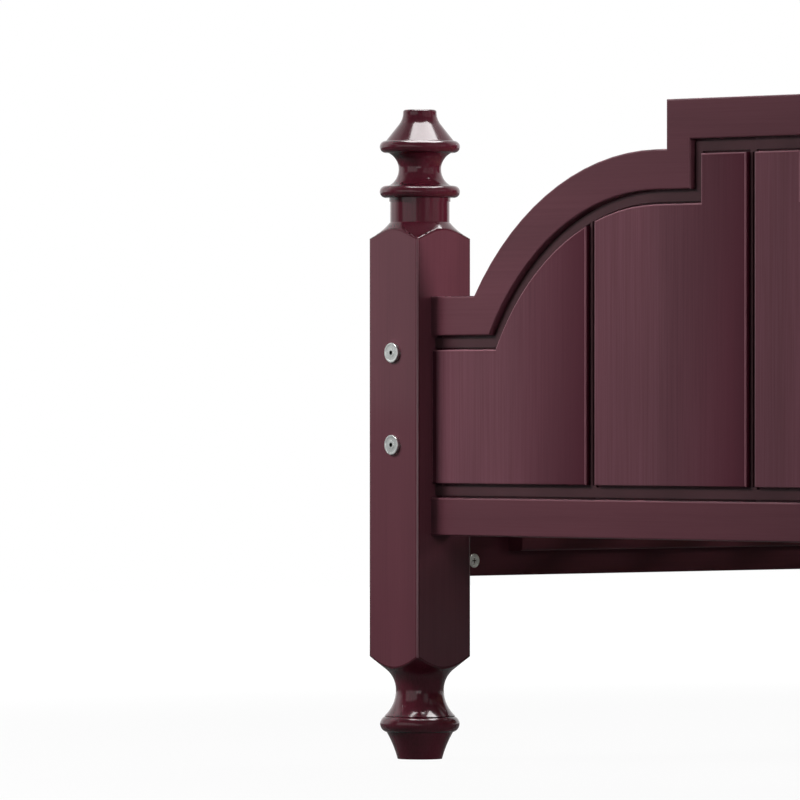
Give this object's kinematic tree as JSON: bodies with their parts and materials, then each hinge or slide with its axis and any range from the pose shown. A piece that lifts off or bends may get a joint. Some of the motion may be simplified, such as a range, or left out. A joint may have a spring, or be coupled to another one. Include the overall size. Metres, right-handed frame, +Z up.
{
  "type": "platform bed",
  "caption": "Wooden platform bed with turned corner posts, stepped-arch plank headboard and footboard, bolted side rails and a slatted deck on a centre beam.",
  "frame": {"origin": "on the floor, at the middle of the rectangle that the bed covers", "axes": "+Z up, +Y from the footboard to the headboard, +X to the right seen from the footboard"},
  "size_m": [1.098, 2.036, 1.108],
  "materials": {
    "lacquered_wood": "dark merlot stain under semi-gloss lacquer",
    "pine": "planed, bare",
    "beech": "bare",
    "zinc_steel": "bright zinc plated",
    "nylon": "moulded black"
  },
  "bodies": {
    "frame": {"footboard_left_post": "lacquered_wood", "footboard_left_finial": "lacquered_wood", "footboard_left_foot": "lacquered_wood", "footboard_right_post": "lacquered_wood", "footboard_right_finial": "lacquered_wood", "footboard_right_foot": "lacquered_wood", "footboard_top_rail": "lacquered_wood", "footboard_bottom_rail": "lacquered_wood", "footboard_plank_1": "lacquered_wood", "footboard_plank_2": "lacquered_wood", "footboard_plank_3": "lacquered_wood", "footboard_plank_4": "lacquered_wood", "footboard_beam_hanger": "zinc_steel", "headboard_left_post": "lacquered_wood", "headboard_left_finial": "lacquered_wood", "headboard_left_foot": "lacquered_wood", "headboard_right_post": "lacquered_wood", "headboard_right_finial": "lacquered_wood", "headboard_right_foot": "lacquered_wood", "headboard_top_rail": "lacquered_wood", "headboard_bottom_rail": "lacquered_wood", "headboard_plank_1": "lacquered_wood", "headboard_plank_2": "lacquered_wood", "headboard_plank_3": "lacquered_wood", "headboard_plank_4": "lacquered_wood", "headboard_beam_hanger": "zinc_steel", "left_side_rail": "lacquered_wood", "left_slat_cleat": "lacquered_wood", "right_side_rail": "lacquered_wood", "right_slat_cleat": "lacquered_wood", "slat_01": "pine", "slat_02": "pine", "slat_03": "pine", "slat_04": "pine", "slat_05": "pine", "slat_06": "pine", "slat_07": "pine", "slat_08": "pine", "slat_09": "pine", "slat_10": "pine", "slat_11": "pine", "slat_12": "pine", "slat_13": "pine", "centre_beam": "pine", "centre_leg_front": "pine", "centre_leg_rear": "pine", "finial_dowels": "beech", "foot_dowels": "beech", "rail_bolts": "zinc_steel", "barrel_nuts": "zinc_steel", "cam_locks": "zinc_steel", "cam_studs": "zinc_steel", "slat_screws": "zinc_steel", "cleat_screws": "zinc_steel", "hanger_screws": "zinc_steel", "leg_screws": "zinc_steel", "leg_inserts": "zinc_steel"},
    "front_glide": {"levelling_glide_front": "nylon"},
    "rear_glide": {"levelling_glide_rear": "nylon"}
  },
  "joints": [
    {"name": "front_glide_adjust", "type": "slide", "parent": "frame", "child": "front_glide", "axis": [0, 0, 1], "range_m": [0, 0.012]},
    {"name": "rear_glide_adjust", "type": "slide", "parent": "frame", "child": "rear_glide", "axis": [0, 0, 1], "range_m": [0, 0.012]}
  ]
}
